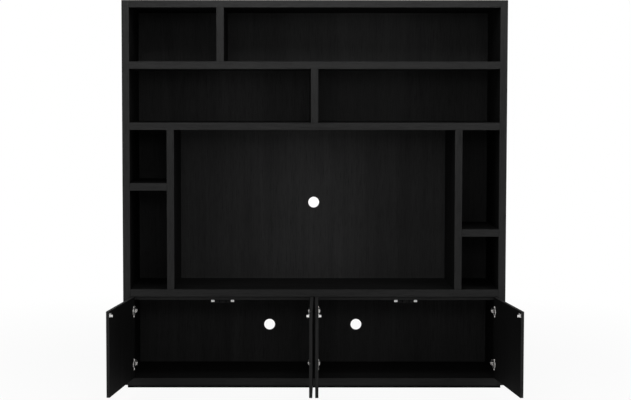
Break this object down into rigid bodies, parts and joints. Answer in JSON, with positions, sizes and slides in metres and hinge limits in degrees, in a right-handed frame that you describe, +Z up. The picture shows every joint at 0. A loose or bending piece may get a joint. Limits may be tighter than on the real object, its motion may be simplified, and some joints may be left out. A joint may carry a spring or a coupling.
{
  "type": "tv stand",
  "caption": "Tall television wall unit with a wide niche for the screen, open compartments above and beside it, and a low base whose flush doors stand open on concealed hinges.",
  "frame": {"origin": "on the floor, under the middle of the unit's body without its open doors", "axes": "+Z up, -Y out of the open front, +X to the right of someone who faces the front"},
  "size_m": [2.0386, 0.9079, 2.028],
  "materials": {
    "black_oak": "matt black foil with a fine vertical wood grain",
    "black_back": "matt black back panel, same grain",
    "nickel": "nickel-plated steel",
    "zinc": "bright zinc-plated steel",
    "black_plastic": "matt black plastic"
  },
  "bodies": {
    "unit": {"side_panel_left": "black_oak", "side_panel_right": "black_oak", "top_panel": "black_oak", "upper_shelf": "black_oak", "middle_shelf": "black_oak", "base_top": "black_oak", "base_floor": "black_oak", "upper_row_divider": "black_oak", "lower_row_divider": "black_oak", "niche_upright_left": "black_oak", "niche_upright_right": "black_oak", "column_shelf_left": "black_oak", "column_shelf_right": "black_oak", "centre_partition": "black_oak", "front_rail_left": "black_oak", "front_rail_right": "black_oak", "plinth_front": "black_oak", "plinth_back": "black_oak", "plinth_middle": "black_oak", "back_upper": "black_back", "back_column_left": "black_back", "back_niche": "black_back", "back_column_right": "black_back", "back_base_left": "black_back", "back_base_right": "black_back", "skid_front": "black_plastic", "skid_back": "black_plastic", "skid_middle": "black_plastic", "hinge_arm_outer_left_top": "nickel", "hinge_arm_outer_left_bottom": "nickel", "hinge_arm_inner_left_top": "nickel", "hinge_arm_inner_left_bottom": "nickel", "hinge_arm_inner_right_top": "nickel", "hinge_arm_inner_right_bottom": "nickel", "hinge_arm_outer_right_top": "nickel", "hinge_arm_outer_right_bottom": "nickel", "latch_bracket_left": "zinc", "latch_body_left": "black_plastic", "latch_bracket_right": "zinc", "latch_body_right": "black_plastic"},
    "door_outer_left": {"door_outer_left": "black_oak", "striker_outer_left": "zinc", "hinge_cup_outer_left_top": "nickel", "hinge_cup_outer_left_bottom": "nickel"},
    "door_inner_left": {"door_inner_left": "black_oak", "striker_inner_left": "zinc", "hinge_cup_inner_left_top": "nickel", "hinge_cup_inner_left_bottom": "nickel"},
    "door_inner_right": {"door_inner_right": "black_oak", "striker_inner_right": "zinc", "hinge_cup_inner_right_top": "nickel", "hinge_cup_inner_right_bottom": "nickel"},
    "door_outer_right": {"door_outer_right": "black_oak", "striker_outer_right": "zinc", "hinge_cup_outer_right_top": "nickel", "hinge_cup_outer_right_bottom": "nickel"},
    "catch_outer_left": {"latch_catch_outer_left": "black_plastic"},
    "catch_inner_left": {"latch_catch_inner_left": "black_plastic"},
    "catch_outer_right": {"latch_catch_outer_right": "black_plastic"},
    "catch_inner_right": {"latch_catch_inner_right": "black_plastic"}
  },
  "joints": [
    {"name": "door_outer_left_hinge", "type": "hinge", "parent": "unit", "child": "door_outer_left", "pos_m": [-0.9535, -0.2165, 0.269], "axis": [0, 0, -1], "range_deg": [-98.2, 6.8]},
    {"name": "door_inner_left_hinge", "type": "hinge", "parent": "unit", "child": "door_inner_left", "pos_m": [-0.008, -0.2165, 0.269], "axis": [0, 0, 1], "range_deg": [-88.4, 0]},
    {"name": "door_inner_right_hinge", "type": "hinge", "parent": "unit", "child": "door_inner_right", "pos_m": [0.008, -0.2165, 0.269], "axis": [0, 0, -1], "range_deg": [-91, 0]},
    {"name": "door_outer_right_hinge", "type": "hinge", "parent": "unit", "child": "door_outer_right", "pos_m": [0.9535, -0.2165, 0.269], "axis": [0, 0, 1], "range_deg": [-97, 8]},
    {"name": "catch_outer_left_slide", "type": "slide", "parent": "unit", "child": "catch_outer_left", "axis": [0, -1, 0], "range_m": [-0.008, 0], "stiffness_N_per_m": 250},
    {"name": "catch_inner_left_slide", "type": "slide", "parent": "unit", "child": "catch_inner_left", "axis": [0, -1, 0], "range_m": [-0.008, 0], "stiffness_N_per_m": 250},
    {"name": "catch_outer_right_slide", "type": "slide", "parent": "unit", "child": "catch_outer_right", "axis": [0, -1, 0], "range_m": [-0.008, 0], "stiffness_N_per_m": 250},
    {"name": "catch_inner_right_slide", "type": "slide", "parent": "unit", "child": "catch_inner_right", "axis": [0, -1, 0], "range_m": [-0.008, 0], "stiffness_N_per_m": 250}
  ]
}
